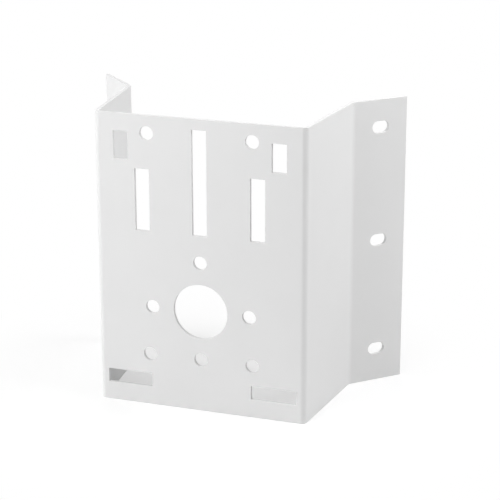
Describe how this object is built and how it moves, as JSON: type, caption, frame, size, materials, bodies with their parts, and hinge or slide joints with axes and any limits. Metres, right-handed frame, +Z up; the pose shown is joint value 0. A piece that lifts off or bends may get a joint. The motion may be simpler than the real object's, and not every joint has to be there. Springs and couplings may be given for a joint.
{
  "type": "camera corner bracket",
  "caption": "Folded steel bracket that straddles the outside corner of a wall and holds a camera on its front plate.",
  "frame": {"origin": "middle of the bracket's footprint, level with its bottom edges", "axes": "+Z up, -Y out of the camera plate, +X to the right of someone who faces the plate"},
  "size_m": [0.219, 0.1072, 0.2],
  "materials": {
    "powder_coat": "satin white powder coat on steel sheet"
  },
  "bodies": {
    "root": {"corner_bracket": "powder_coat"}
  },
  "joints": []
}
